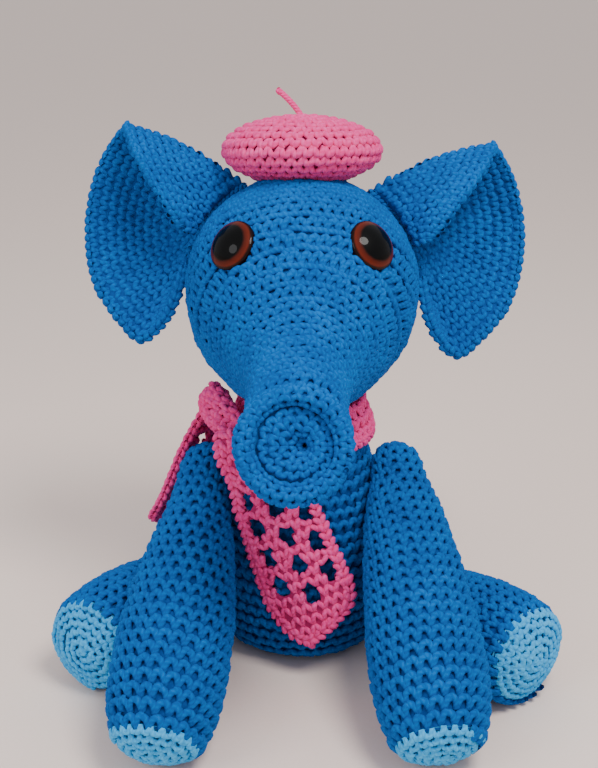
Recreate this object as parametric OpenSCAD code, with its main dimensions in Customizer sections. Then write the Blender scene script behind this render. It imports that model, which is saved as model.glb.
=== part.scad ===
// Crocheted elephant that sits upright, with a beret and a lace scarf.
// Millimetres, +Z up, the face looks towards -Y, origin at the centre of the flat seat.
// "Left" is the -X side and "right" the +X side, as seen from the front.

/* [Yarn] */
// Thickness of the crocheted fabric
skin_t = 3; // [2.5:0.25:3.5]
// Gap between the fabric and the stuffing in it
fill_gap = 0.3; // [0.2:0.1:0.5]
// Gap between two stuffed pieces that are sewn together
sewn_gap = 1.6; // [1.4:0.1:2]

/* [Torso] */
// Height of the torso up to its open neck edge
torso_h = 111; // [109:0.5:111]
// Widest radius of the torso
torso_r = 40.5; // [38:0.5:41]
// Radius of the neck edge
neck_r = 18.5; // [17:0.5:19]
// Radius of the flat seat
seat_r = 25; // [20:1:28]

/* [Head and trunk] */
// Radius of the round head
head_r = 48; // [46:0.5:48]
// Height of the head's centre above the seat
head_z = 157.5; // [157.5:0.5:160]
// How far the face leans back, in degrees
head_tilt = 16; // [12:1:20]
// Radius of the trunk's tip
tip_r = 21; // [19:0.5:22]
// How far the trunk's tip sways towards -X
trunk_sway = 3; // [0:0.5:5]
// Depth of the dent in the trunk's tip
tip_dent = 4.5; // [3:0.5:5]

/* [Eyes] */
// Diameter of each plastic eye
eye_d = 20; // [16:1:20]
// Diameter of the black pupil
pupil_d = 14.4; // [11:0.2:15]
// Height of the eye's dome
eye_dome = 4; // [3:0.5:6]
// How far each eye looks to the side, in degrees
eye_side = 37.5; // [34:0.5:40]
// How far each eye looks up, in degrees
eye_up = 21.5; // [18:0.5:24]

/* [Ears] */
// How far the left ear is turned up round the head, in degrees
ear_turn_left = 6; // [0:1:7]
// How far the right ear is turned up round the head, in degrees
ear_turn_right = 0; // [0:1:4]
// How deep the ear is cupped
ear_cup = 8; // [4:1:10]

/* [Beret] */
// Radius of the beret
beret_r = 33; // [30:0.5:34]
// Half of the beret's thickness
beret_half = 14; // [12:0.5:14]
// Radius of the opening that is sewn to the head
beret_hole = 14; // [10:1:16]
// Length of the twisted stalk
stalk_l = 12; // [8:1:14]

/* [Scarf] */
// Width of the front tail
tail_w = 33; // [29:1:33]
// Length of the front tail
tail_l = 88; // [82:1:90]
// Thickness of the lace
lace_t = 3; // [2:0.5:3]
// Width of each hole in the lace
lace_hole = 4.5; // [3:0.5:5]

/* [Arms] */
// Length of an arm from the shoulder to the edge of its sole
arm_l = 120; // [116:0.5:120]
// Radius of the rounded shoulder
shoulder_r = 10.5; // [9:0.5:11]
// Widest radius of an arm
arm_r = 22.2; // [21:0.1:22.2]
// How far the arms point down, in degrees
arm_pitch = 34.4; // [33.6:0.2:34.4]
// How far the left arm points outwards, in degrees
arm_yaw_left = 8; // [7:0.5:8]
// How far the right arm points outwards, in degrees
arm_yaw_right = 6; // [5:0.5:6]

/* [Legs] */
// Length of a leg from the hip to the edge of its sole
leg_l = 60; // [54:1:60]
// Radius of the rounded hip
hip_r = 14; // [13:0.5:14.5]
// Widest radius of a leg
leg_r = 22; // [19:0.5:22]
// How far the left leg points forwards, in degrees from sideways
leg_yaw_left = 60; // [54:1:60]
// How far the right leg points forwards, in degrees from sideways
leg_yaw_right = 52; // [46:1:52]

/* [Soles] */
// Radius of an arm's sole
arm_sole_r = 17; // [15:0.5:17]
// Height of each sole's dome
sole_dome = 6; // [4:0.5:7]

/* [Hidden] */
$fn = 64;

blue = "#1487c9";
light_blue = "#7cc4e8";
pink = "#f0609f";
white = "#f1eee6";

// Limb joints: centre of the rounded shoulder and of the rounded hip, on the right side
shoulder_z = 83;
torso_r_at_shoulder = 30.1;
shoulder_out = torso_r_at_shoulder + sewn_gap + shoulder_r;
shoulder_turn = 17;
shoulder_c = [shoulder_out * cos(shoulder_turn), -shoulder_out * sin(shoulder_turn), shoulder_z];
hip_z = leg_r + 0.5;
hip_out = torso_r + sewn_gap + hip_r;
hip_turn_left = 4;
hip_turn_right = 16;
function hip_turn(side) = side < 0 ? hip_turn_left : hip_turn_right;

// Stations along the torso's outline, as [radius, height]
torso_line = [
    [seat_r, 0], [torso_r - 4.5, 7], [torso_r, 28], [torso_r - 2.5, 50], [33.5, 70],
    [28.6, 88], [23.4, 100], [neck_r, torso_h]
];
// Stations along an arm and a leg, as [radius, distance from the joint]
function arm_line(side) = [
    [shoulder_r, 0], [shoulder_r + (side < 0 ? 0.4 : 0.9), 7], [side < 0 ? 12.6 : 14.8, 20],
    [side < 0 ? 16.8 : 18.2, 40], [arm_r - 1.4, 63], [arm_r, 86], [arm_r - 1.2, 106],
    [arm_sole_r, arm_l]
];
leg_line = [[hip_r, 0], [leg_r - 3.5, 16], [leg_r - 0.5, 33], [leg_r, 48], [leg_r - 1, leg_l]];
leg_sole_r = leg_r - 1;

// Rings along the head and trunk, as [forward, up, lean, radius] from the head's centre.
// The lean is how far the ring's axis points below forward, in degrees.
crown_lean = 50;
crown = [for (a = [12:13:77]) [
    -head_r * cos(a) * cos(crown_lean), head_r * cos(a) * sin(crown_lean),
    crown_lean, head_r * sin(a)
]];
face = [
    [0, 0, crown_lean, head_r], [13.3, -10.8, 39, 44.6], [23, -14.5, 32, 39.6],
    [31.5, -18.5, 26, 34.5], [45, -25.5, 22, 25.5], [57, -33.5, 24, 19], [70, -43.5, 16, 18],
    [79, -50, 6, 19], [86, -54, -8, tip_r]
];
tip = face[len(face) - 1];
ring_n = 28;

// Outline of the right ear, from the front of its root round to the back, as [x, forward, up]
ear_edge = [
    [48.3, 6, 17], [61, 14, 32], [72, 13, 47], [78, 6, 57], [80, -2, 59.5], [87, -7, 50],
    [91.5, -9, 37], [93, -9, 22.5], [91, -8, 6], [85, -6, -8.5], [73, -4, -22], [65, -3, -27],
    [58.5, -2, -21.5], [53.5, -2, -13], [51, -2, -2], [49.5, -2, 9]
];
// Where each of those stations starts on the sewn root: 0 at the root's top, 1 at its bottom
ear_root = [1, 0.66, 0.33, 0.1, 0, 0.1, 0.25, 0.4, 0.6, 0.8, 0.95, 1, 1, 1, 1, 1];
ear_fold = 4;
ear_t = skin_t;
ear_steps = 6;
ear_turns = 30;

// ---- curves ----

// Point at t from 0 to 1 on the smooth curve through the stations p
function curve(p, t) =
    let (n = len(p) - 1, i = min(floor(t * n), n - 1), u = t * n - i)
    let (a = i > 0 ? p[i - 1] : 2 * p[0] - p[1], b = p[i], c = p[i + 1])
    let (d = i < n - 1 ? p[i + 2] : 2 * p[n] - p[n - 1])
    0.5 * (2 * b + (c - a) * u + (2 * a - 5 * b + 4 * c - d) * u * u
        + (3 * b - a - 3 * c + d) * u * u * u);

function smooth(p, n) = [for (i = [0:n]) curve(p, i / n)];

function reversed(p) = [for (i = [len(p) - 1:-1:0]) p[i]];

function unit(v) = v / norm(v);

// Outline [radius, height] moved inwards by t, square to itself
function inset(p, t) = [for (i = [0:len(p) - 1])
    let (d = unit(p[min(i + 1, len(p) - 1)] - p[max(i - 1, 0)]))
    [max(p[i][0] - t * d[1], 0), p[i][1] + t * d[0]]];

// Rounded end of a limb below its joint, from the pole up to the joint
function round_end(r) = [for (a = [0:15:75]) [r * sin(a), -r * cos(a)]];

// Dome of height h on a rim of radius r, from the rim to the middle
function dome(r, h, z) =
    let (R = (r * r + h * h) / (2 * h), a = asin(r / R))
    [for (i = [0:8]) [R * sin(a * (1 - i / 8)), z + h - R + R * cos(a * (1 - i / 8))]];

// ---- placing ----

module mirrored(side) {
    if (side < 0) mirror([1, 0, 0]) children();
    else children();
}

// Head frame: +X right, -Y out of the face, +Z up through the crown
module in_head() translate([0, 0, head_z]) rotate([-head_tilt, 0, 0]) children();

// Arm frame: the origin at the shoulder, +Z down along the arm
module along_arm(side) mirrored(side)
    translate(shoulder_c) rotate([0, 0, side < 0 ? arm_yaw_left : arm_yaw_right])
        rotate([90 + arm_pitch, 0, 0]) children();

// Leg frame: the origin at the hip, +Z along the leg to the foot
module along_leg(side) mirrored(side)
    rotate([0, 0, -hip_turn(side)]) translate([hip_out, 0, hip_z])
        rotate([0, 0, hip_turn(side) - (side < 0 ? leg_yaw_left : leg_yaw_right)])
            rotate([0, 90, 0]) children();

// Eye frame: the origin on the head's surface, +Z out of the eye
module at_eye(side) in_head() mirrored(side)
    rotate([0, 0, eye_side]) rotate([90 - eye_up, 0, 0]) translate([0, 0, head_r + 0.5]) children();

// ---- stuffed pieces of revolution ----

module torso_skin() {
    line = concat([[0, 0]], smooth(torso_line, 28));
    color(blue) rotate_extrude() polygon(concat(line, reversed(inset(line, skin_t))));
}

module torso_stuffing() {
    line = inset(smooth(torso_line, 28), skin_t + fill_gap);
    low = skin_t + 1.2;
    high = torso_h - 2.4;
    body = [for (p = line) if (p[1] > low + 0.4 && p[1] < high) p];
    last = body[len(body) - 1];
    color(white) rotate_extrude()
        polygon(concat([[0, low], [seat_r - 3, low]], body, [[last[0] - 1, high], [0, high]]));
}

module limb_skin(line, r) {
    outer = concat(round_end(r), smooth(line, 20));
    color(blue) rotate_extrude() polygon(concat(outer, reversed(inset(outer, skin_t))));
}

module limb_sole(r, l) {
    outer = dome(r, sole_dome, l);
    inner = dome(r - skin_t, sole_dome - skin_t + 0.6, l);
    color(light_blue) rotate_extrude() polygon(concat(outer, reversed(inner)));
}

module limb_stuffing(line, r, sole_r, l) {
    outer = inset(concat(round_end(r), smooth(line, 20)), skin_t + fill_gap);
    end = dome(sole_r - skin_t - fill_gap, sole_dome - skin_t - 0.4, l - 0.6);
    color(white) rotate_extrude() polygon(concat([for (p = outer) if (p[1] < l - 1) p], end));
}

module yarn_ring(r, d) color(blue) rotate_extrude() translate([r, 0]) circle(d = d, $fn = 24);

module neck_seam() translate([0, 0, torso_h + 0.2]) yarn_ring(neck_r + 1.9, 1.6);

// The ring lies flat on the torso, which leans in by shoulder_lean there
shoulder_lean = 15.5;
module shoulder_seam(side) mirrored(side) rotate([0, 0, -shoulder_turn])
    translate([shoulder_out, 0, shoulder_z]) rotate([0, -shoulder_lean, 0])
        translate([-shoulder_r - 0.8, 0, 0]) rotate([0, 90, 0]) yarn_ring(2.5, 0.7);

module hip_seam(side) mirrored(side) rotate([0, 0, -hip_turn(side)])
    translate([torso_r + 1, 0, hip_z]) rotate([0, 90, 0]) yarn_ring(4.5, 1.6);

// ---- head and trunk ----

// Points of one ring, with its radius cut by t
function ring(s, t = 0, sway = 0) = [for (i = [0:ring_n - 1])
    let (a = 360 * i / ring_n, r = s[3] - t, v = r * sin(a))
    [r * cos(a) - sway, -(s[0] + v * sin(s[2])), s[1] + v * cos(s[2])]];

// How far a ring sways to the side: nothing on the head, all of it at the tip
function sway(s) = trunk_sway * pow(max(s[0], 0) / tip[0], 2);

// A ring of radius r that lies h ahead of the trunk's tip
function tip_ring(h, r) = [tip[0] + h * cos(tip[2]), tip[1] - h * sin(tip[2]), tip[2], r];

// Closed surface through rings of equal length, with a pole at each end
module loft(first, rings, last) {
    n = len(rings[0]);
    m = len(rings);
    points = concat([first], [for (r = rings) each r], [last]);
    sides = [for (j = [0:m - 2], i = [0:n - 1])
        let (a = 1 + j * n + i, b = 1 + j * n + (i + 1) % n) [a, b, b + n, a + n]];
    caps = [for (i = [0:n - 1]) each [
        [0, 1 + (i + 1) % n, 1 + i],
        [m * n + 1, 1 + (m - 1) * n + i, 1 + (m - 1) * n + (i + 1) % n]
    ]];
    triangles = [for (f = sides) each [[f[0], f[1], f[2]], [f[0], f[2], f[3]]]];
    polyhedron(points, concat(triangles, caps));
}

function crown_pole(r) = [0, r * cos(crown_lean), r * sin(crown_lean)];

head_stations = concat(crown, smooth(face, 16));
tip_stations = [
    tip_ring(2.6, tip_r - 1.6), tip_ring(3.4, tip_r - 4), tip_ring(2.4, tip_r - 6.2),
    tip_ring(-1, tip_r - 7.2), tip_ring(3.4 - tip_dent, tip_r - 12), tip_ring(3.4 - tip_dent, 1.6)
];
dent_back = 3.4 - tip_dent - skin_t;
inner_end = [tip_ring(dent_back, 1.6), tip_ring(dent_back, tip_r - skin_t - 1.5)];

// Crown rings of a smaller sphere, for the inside of the head
function crown_inside(t) = [for (s = crown) [
    s[0] * (head_r - t) / head_r, s[1] * (head_r - t) / head_r,
    s[2], s[3] * (head_r - t) / head_r
]];

module head_skin() color(blue) in_head() difference() {
    loft(crown_pole(head_r),
        concat(
            [for (s = head_stations) ring(s, 0, sway(s))],
            [for (s = tip_stations) ring(s, 0, trunk_sway)],
            [for (s = inner_end) ring(s, 0, trunk_sway)],
            [for (s = reversed([for (k = [0:12]) curve(face, k / 16)])) ring(s, skin_t, sway(s))],
            [for (s = reversed(crown_inside(skin_t))) ring(s)]),
        crown_pole(head_r - skin_t));
    for (side = [-1, 1]) mirrored(side) rotate([0, 0, eye_side]) rotate([90 - eye_up, 0, 0])
        translate([0, 0, head_r - 8]) cylinder(d = 5.2, h = 12);
}

module head_stuffing() color(white) in_head() difference() {
    t = skin_t + fill_gap + 0.3;
    loft(crown_pole(head_r - t),
        concat(
            [for (s = crown_inside(t)) ring(s)],
            [for (k = [0:12]) let (s = curve(face, k / 16)) ring(s, t, sway(s))],
            [ring(tip_ring(dent_back - 1.5, tip_r - t - 3.2), 0, trunk_sway)]),
        [-trunk_sway, -tip_ring(dent_back - 1.2, 0)[0], tip_ring(dent_back - 1.2, 0)[1]]);
    for (side = [-1, 1]) mirrored(side) rotate([0, 0, eye_side]) rotate([90 - eye_up, 0, 0])
        translate([0, 0, head_r - 18]) cylinder(d = 17, h = 20);
}

// ---- eyes ----

eye_R = (pow(eye_d / 2, 2) + pow(eye_dome, 2)) / (2 * eye_dome);
function eye_top(r) = eye_dome - eye_R + sqrt(eye_R * eye_R - r * r);

// The coloured outer ring of the eye's dome
module eye_iris(side) {
    r0 = pupil_d / 2;
    r1 = eye_d / 2;
    arc = [for (i = [0:10]) let (r = r0 + (r1 - r0) * i / 10) [r, 0.3 + eye_top(r)]];
    color("#7a2f1c") at_eye(side) rotate_extrude() polygon(concat([[r1, 0.2], [r0, 0.2]], arc));
}

// The black middle of the dome, in one moulding with the ridged post behind it
module eye_pupil(side) {
    r0 = pupil_d / 2 - 0.05;
    arc = [for (i = [0:8]) let (r = r0 * (1 - i / 8)) [r, 0.3 + eye_top(r)]];
    post = [[0, -14], [1.6, -14], [2.2, -12.5]];
    ridges = [for (k = [0:4]) each [[2.2, -12 + 2 * k], [2.2, -11 + 2 * k], [1.9, -10.5 + 2 * k]]];
    color("#111111") at_eye(side) rotate_extrude()
        polygon(concat(post, ridges, [[2.2, -1.5], [2.2, 0.2], [r0, 0.2]], arc));
}

// The plastic washer that locks the post inside the head
module eye_washer(side) color("#e8e8e4") at_eye(side) translate([0, 0, -7.3]) difference() {
    cylinder(d = 15, h = 1.6);
    translate([0, 0, -1]) cylinder(d = 4.6, h = 4);
}

// ---- ears ----

// Point on the sewn root, w from 0 at its top to 1 at its bottom, moved forward by f
ear_root_r = head_r + ear_t / 2 + 0.9;
function root_point(w, f) =
    let (a = 55 - 38 * w) [ear_root_r * cos(a), f * w, ear_root_r * sin(a)];

ear_root_points = [for (i = [0:len(ear_root) - 1])
    root_point(ear_root[i], i < ear_fold ? 6 : -2)];

// Point of the ear at r from 0 at the root to 1 at the edge, and t round the outline
function ear_point(r, t) =
    let (a = curve(ear_root_points, t), b = curve(ear_edge, t), k = t * 15, m = sin(180 * r))
    let (back = min(max((k - ear_fold) / 2, 0), 1), ridge = max(1 - abs(k - ear_fold) / 2, 0))
    let (flap = min(max((ear_fold - k) / 2, 0), 1))
    a + (b - a) * r + [0, m * (2.5 * flap - ear_cup * back * (k < 12 ? 1 : (15 - k) / 3)), 3 * m * ridge];

function ear_normal(r, t) =
    let (e = 0.01, r0 = max(min(r, 0.98), 0.03), t0 = max(min(t, 0.985), 0.015))
    unit(cross(ear_point(r0 + e, t0) - ear_point(r0 - e, t0),
        ear_point(r0, t0 + e) - ear_point(r0, t0 - e)));

// Axes are [x, forward, up]; this turns such a point into the head frame
function to_head(p) = [p[0], -p[1], p[2]];

module ear_sheet() {
    n = ear_steps + 1;
    m = ear_turns + 1;
    grid = [for (i = [0:ear_steps], j = [0:ear_turns]) [i / ear_steps, 0.02 + 0.96 * j / ear_turns]];
    front = [for (g = grid) to_head(ear_point(g[0], g[1]) + ear_t / 2 * ear_normal(g[0], g[1]))];
    back = [for (g = grid) to_head(ear_point(g[0], g[1]) - ear_t / 2 * ear_normal(g[0], g[1]))];
    q = n * m;
    cells = [for (i = [0:ear_steps - 1], j = [0:ear_turns - 1]) i * m + j];
    top = [for (c = cells) each [[c, c + m, c + m + 1], [c, c + m + 1, c + 1]]];
    under = [for (f = top) [f[2] + q, f[1] + q, f[0] + q]];
    rim = concat([for (j = [0:m - 1]) j], [for (i = [1:n - 1]) i * m + m - 1],
        [for (j = [m - 2:-1:0]) (n - 1) * m + j], [for (i = [n - 2:-1:1]) i * m]);
    k = len(rim);
    walls = [for (i = [0:k - 1]) let (a = rim[i], b = rim[(i + 1) % k])
        each [[a, b, b + q], [a, b + q, a + q]]];
    polyhedron(concat(front, back), concat(top, under, walls));
}

module ear(side) color(blue) in_head() mirrored(side)
    rotate([0, side < 0 ? -ear_turn_left : -ear_turn_right, 0]) ear_sheet();

// ---- beret ----

// Height of the beret's middle above the head's centre, and its tip forwards in degrees
beret_up = 58;
beret_tip = 8;

// Half of the beret's section: an oval, from its top round to the angle a
function oval(r, h, a) = [for (i = [0:18]) [r * sin(a * i / 18), h * cos(a * i / 18)]];

module on_crown() in_head() translate([0, 0, beret_up]) rotate([beret_tip, 0, 0]) children();

module beret_skin() color(pink) difference() {
    on_crown() rotate_extrude() {
        inner_r = beret_r - skin_t;
        inner_h = beret_half - skin_t;
        outer = oval(beret_r, beret_half, 180 - asin(beret_hole / beret_r));
        inner = oval(inner_r, inner_h, 180 - asin(beret_hole / inner_r));
        polygon(concat(outer, reversed(inner)));
    }
    translate([0, 0, head_z]) sphere(r = head_r + 0.6);
}

module beret_stuffing() color(white) difference() {
    on_crown() rotate_extrude()
        polygon(oval(beret_r - skin_t - fill_gap, beret_half - skin_t - fill_gap, 180));
    translate([0, 0, head_z]) sphere(r = head_r + skin_t + 0.8);
}

module beret_stalk() color(pink) on_crown() translate([-1, 0, beret_half + 0.8])
    rotate([0, -42, 0]) union() {
        cylinder(d = 2.2, h = stalk_l, $fn = 24);
        translate([0, 0, stalk_l]) sphere(d = 2.8, $fn = 24);
    }

// ---- scarf ----

module scarf_band() color(pink) rotate_extrude()
    polygon([[27, 97], [30.4, 96.4], [31, 98], [29.6, 104], [26.8, 110.4], [25.4, 111],
        [22.8, 110.6], [24.6, 104]]);

// The knot is a flat wad of folded lace on the left of the neck
module scarf_knot() color(pink) hull() {
    translate([-36, -12, 117.5]) sphere(r = 5, $fn = 24);
    translate([-25.5, -20.5, 112]) sphere(r = 5, $fn = 24);
    translate([-39.5, -7, 105]) sphere(r = 5.5, $fn = 24);
    translate([-25.5, -30, 101.5]) sphere(r = 4.8, $fn = 24);
    translate([-28, -14, 106]) sphere(r = 4.5, $fn = 24);
    translate([-32.5, -28.5, 107]) sphere(r = 4.2, $fn = 24);
}

// Upright holes in columns col_step apart, down a strip from first to last
col_step = 10.6;
row_step = 13.2;
module lace_holes(cols, first, last) {
    for (col = cols, row = [0:floor((last - first) / row_step)]) {
        y = first + row * row_step + (abs(col) % 2 == 1 ? row_step / 2 : 0);
        if (y <= last)
            translate([col * col_step, -y, -1]) scale([1, 1.55, 1])
                cylinder(d = lace_hole, h = lace_t + 2, $fn = 6);
    }
}

// The front tail leaves the knot as a strap, then widens across the chest to a slanting end
module scarf_tail_front() color(pink)
    translate([-20.8, -33.4, 101]) rotate([0, -22, 0]) rotate([82.5, 0, 0]) difference() {
        linear_extrude(lace_t) polygon([
            [-2, 1], [-4.5, 9], [-11.5, 12.3], [-14.2, 0.3], [-13.6, -8.7],
            [-tail_w / 2 + 3, -14], [-tail_w / 2 + 0.5, -24],
            [-tail_w / 2, -60], [-tail_w / 2 + 0.8, 12 - tail_l],
            [-tail_w / 2 + 4, 2 - tail_l], [-tail_w / 2 + 7.5, -tail_l], [12, 9.5 - tail_l],
            [tail_w / 2, 14 - tail_l], [tail_w / 2 + 1, 20 - tail_l], [tail_w / 2, -45],
            [tail_w / 2 - 1, -12], [12, 0]
        ]);
        lace_holes([-1:1], 13, tail_l - 16);
    }

// The back tail hangs down behind the left arm
module scarf_tail_back() color(pink)
    translate([-39, 3, 104]) rotate([0, 26, 0]) rotate([90, 0, 55]) difference() {
        linear_extrude(lace_t) polygon([
            [-8, 2], [-10, -12], [-10.5, -44], [-6, -56], [2, -57], [9, -48], [10, -12], [8, 2]
        ]);
        translate([-col_step / 2, 0, 0]) lace_holes([0:1], 8, 44);
    }

// ---- limbs ----

module arm_skin(side) along_arm(side) limb_skin(arm_line(side), shoulder_r);
module arm_sole(side) along_arm(side) limb_sole(arm_sole_r, arm_l);
module arm_stuffing(side) along_arm(side) limb_stuffing(arm_line(side), shoulder_r, arm_sole_r, arm_l);

module leg_skin(side) along_leg(side) limb_skin(leg_line, hip_r);
module leg_sole(side) along_leg(side) limb_sole(leg_sole_r, leg_l);
module leg_stuffing(side) along_leg(side) limb_stuffing(leg_line, hip_r, leg_sole_r, leg_l);

torso_skin();
torso_stuffing();
neck_seam();
head_skin();
head_stuffing();
ear(-1);  // ear_left
ear(1);  // ear_right
eye_iris(-1);  // eye_left_iris
eye_pupil(-1);  // eye_left_pupil
eye_washer(-1);  // eye_left_washer
eye_iris(1);  // eye_right_iris
eye_pupil(1);  // eye_right_pupil
eye_washer(1);  // eye_right_washer
beret_skin();
beret_stuffing();
beret_stalk();
scarf_band();
scarf_knot();
scarf_tail_front();
scarf_tail_back();
arm_skin(-1);  // arm_left_skin
arm_sole(-1);  // arm_left_sole
arm_stuffing(-1);  // arm_left_stuffing
shoulder_seam(-1);  // shoulder_seam_left
arm_skin(1);  // arm_right_skin
arm_sole(1);  // arm_right_sole
arm_stuffing(1);  // arm_right_stuffing
shoulder_seam(1);  // shoulder_seam_right
leg_skin(-1);  // leg_left_skin
leg_sole(-1);  // leg_left_sole
leg_stuffing(-1);  // leg_left_stuffing
hip_seam(-1);  // hip_seam_left
leg_skin(1);  // leg_right_skin
leg_sole(1);  // leg_right_sole
leg_stuffing(1);  // leg_right_stuffing
hip_seam(1);  // hip_seam_right
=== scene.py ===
"""Looks for the crocheted elephant: every stuffed piece is worked stitch by stitch.

Lengths in the shape code are millimetres in the CAD frame; meshes are made in metres.
"""
import math

import bpy
import numpy as np
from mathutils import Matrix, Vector


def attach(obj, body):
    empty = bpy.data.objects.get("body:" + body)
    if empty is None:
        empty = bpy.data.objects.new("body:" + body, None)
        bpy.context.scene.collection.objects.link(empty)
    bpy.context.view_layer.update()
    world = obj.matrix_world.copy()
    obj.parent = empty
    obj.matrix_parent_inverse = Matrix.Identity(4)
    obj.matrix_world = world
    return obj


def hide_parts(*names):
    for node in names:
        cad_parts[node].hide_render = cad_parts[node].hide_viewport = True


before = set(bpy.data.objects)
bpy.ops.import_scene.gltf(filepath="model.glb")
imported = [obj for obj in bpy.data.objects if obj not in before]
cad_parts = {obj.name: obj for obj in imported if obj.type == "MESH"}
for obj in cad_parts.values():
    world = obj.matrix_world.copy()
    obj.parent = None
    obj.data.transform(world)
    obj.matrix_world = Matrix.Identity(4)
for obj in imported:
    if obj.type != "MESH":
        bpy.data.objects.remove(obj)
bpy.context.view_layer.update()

MM = 0.001
RIGHT, LEFT = 1, -1
SIDE_NAME = {LEFT: "left", RIGHT: "right"}

# ---- sizes in mm and angles in degrees, as in the CAD ----

SKIN_T = 3.0
HEAD_R = 48.0
HEAD_Z = 157.5
HEAD_TILT = 16.0
CROWN_LEAN = 50.0
TIP_R = 21.0
TRUNK_SWAY = 3.0
SHOULDER_R = 10.5
SHOULDER_OUT = 30.1
SHOULDER_UP = 83.0
SHOULDER_TURN = 17.0
ARM_PITCH = 124.4
HIP_R = 14.0
HIP_OUT = 40.5
HIP_UP = 22.5
JOINT_GAP = 1.6
ARM_SOLE_R = 17.0
LEG_SOLE_R = 21.0
SOLE_DOME = 6.0
EYE_R = 10.0
PUPIL_R = 7.2
EYE_DOME = 4.0
EYE_SIDE = 37.5
EYE_UP = 21.5
EAR_TURN = {LEFT: 6.0, RIGHT: 0.0}
EAR_CUP = 8.0
EAR_FOLD = 4
BERET_R = 33.0
BERET_HALF = 14.0
BERET_HOLE = 14.0
BERET_UP = 58.0
BERET_TIP = 8.0
STALK_L = 12.0
TAIL_W = 33.0
TAIL_L = 88.0  # below its strap
TAIL_FROM = (-20.8, -33.4, 101.0)
TAIL_TURN = -22.0
TAIL_HANG = 82.5
BACK_TAIL_FROM = (-41.0, 3.0, 104.0)
BACK_TAIL_TURN = 26.0
COL_STEP = 10.6  # between the lace's columns of holes
ROW_STEP = 13.2  # between the holes of a column
ARM_YAW = {LEFT: 8.0, RIGHT: 6.0}
LEG_YAW = {LEFT: 60.0, RIGHT: 52.0}
HIP_TURN = {LEFT: 4.0, RIGHT: 16.0}

TORSO_LINE = [(25, 0), (36, 7), (40.5, 28), (38, 50), (33.5, 70), (28.6, 88), (23.4, 100),
              (18.5, 111)]
ARM_LINE = {LEFT: [(10.5, 0), (10.9, 7), (12.6, 20), (16.8, 40), (20.8, 63), (22.2, 86), (21, 106),
                   (17, 120)],
            RIGHT: [(10.5, 0), (11.4, 7), (14.8, 20), (18.2, 40), (20.8, 63), (22.2, 86), (21, 106),
                    (17, 120)]}
LEG_LINE = [(14, 0), (18.5, 16), (21.5, 33), (22, 48), (21, 60)]

# Rings along the face and trunk: forward, up, lean in degrees, radius
FACE = [(0, 0, CROWN_LEAN, HEAD_R), (13.3, -10.8, 39, 44.6), (23, -14.5, 32, 39.6),
        (31.5, -18.5, 26, 34.5), (45, -25.5, 22, 25.5), (57, -33.5, 24, 19), (70, -43.5, 16, 18),
        (79, -50, 6, 19), (86, -54, -8, TIP_R)]

# The right ear's outline, from the front of its root round to the back: x, forward, up
EAR_EDGE = [(48.3, 6, 17), (61, 14, 32), (72, 13, 47), (78, 6, 57), (80, -2, 59.5),
            (87, -7, 50), (91.5, -9, 37), (93, -9, 22.5), (91, -8, 6), (85, -6, -8.5),
            (73, -4, -22), (65, -3, -27), (58.5, -2, -21.5), (53.5, -2, -13), (51, -2, -2),
            (49.5, -2, 9)]
EAR_ROOT = [1, 0.66, 0.33, 0.1, 0, 0.1, 0.25, 0.4, 0.6, 0.8, 0.95, 1, 1, 1, 1, 1]


# ---- small geometry helpers ----

def unit(v):
    return v / np.maximum(np.linalg.norm(v, axis=-1, keepdims=True), 1e-9)


def curve(stations, t):
    """Points at t (0 to 1) on the smooth curve through the stations."""
    p = np.asarray(stations, float)
    n = len(p) - 1
    t = np.clip(np.asarray(t, float), 0, 1) * n
    i = np.minimum(t.astype(int), n - 1)
    u = (t - i)[..., None]
    p = np.vstack([2 * p[0] - p[1], p, 2 * p[-1] - p[-2]])
    a, b, c, d = p[i], p[i + 1], p[i + 2], p[i + 3]
    return 0.5 * (2 * b + (c - a) * u + (2 * a - 5 * b + 4 * c - d) * u ** 2
                  + (3 * b - a - 3 * c + d) * u ** 3)


def spin(axis, degrees):
    c, s = math.cos(math.radians(degrees)), math.sin(math.radians(degrees))
    m = np.eye(4)
    i, j = {"x": (1, 2), "y": (2, 0), "z": (0, 1)}[axis]
    m[i, i] = m[j, j] = c
    m[i, j], m[j, i] = -s, s
    return m


def shift(x, y, z):
    m = np.eye(4)
    m[:3, 3] = x, y, z
    return m


def mirror(side):
    return np.diag([float(side), 1.0, 1.0, 1.0])


def placed(points, m):
    return points @ m[:3, :3].T + m[:3, 3]


def lumps(points, size):
    """Gentle unevenness of hand-stuffed fabric: a smooth field of -size to size."""
    x, y, z = points[..., 0], points[..., 1], points[..., 2]
    return size * (np.sin(x / 9.0 + y / 13.0 + 1.0) * np.sin(z / 10.0 - y / 17.0 + 0.4)
                   + 0.5 * np.sin(x / 5.3 - z / 6.1 + 2.0) * np.sin(y / 5.9 + 0.7)) / 1.5


# ---- places of the parts ----

HEAD = shift(0, 0, HEAD_Z) @ spin("x", -HEAD_TILT)
CROWN = HEAD @ shift(0, 0, BERET_UP) @ spin("x", BERET_TIP)


def arm_place(side):
    out, turn = SHOULDER_OUT + JOINT_GAP + SHOULDER_R, math.radians(SHOULDER_TURN)
    at = shift(out * math.cos(turn), -out * math.sin(turn), SHOULDER_UP)
    return mirror(side) @ at @ spin("z", ARM_YAW[side]) @ spin("x", ARM_PITCH)


def leg_place(side):
    at = spin("z", -HIP_TURN[side]) @ shift(HIP_OUT + JOINT_GAP + HIP_R, 0, HIP_UP)
    return mirror(side) @ at @ spin("z", HIP_TURN[side] - LEG_YAW[side]) @ spin("y", 90)


def eye_place(side):
    return (HEAD @ mirror(side) @ spin("z", EYE_SIDE) @ spin("x", 90 - EYE_UP)
            @ shift(0, 0, HEAD_R + 0.5))


def ear_place(side):
    return HEAD @ mirror(side) @ spin("y", -EAR_TURN[side])


# ---- meshes ----

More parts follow.
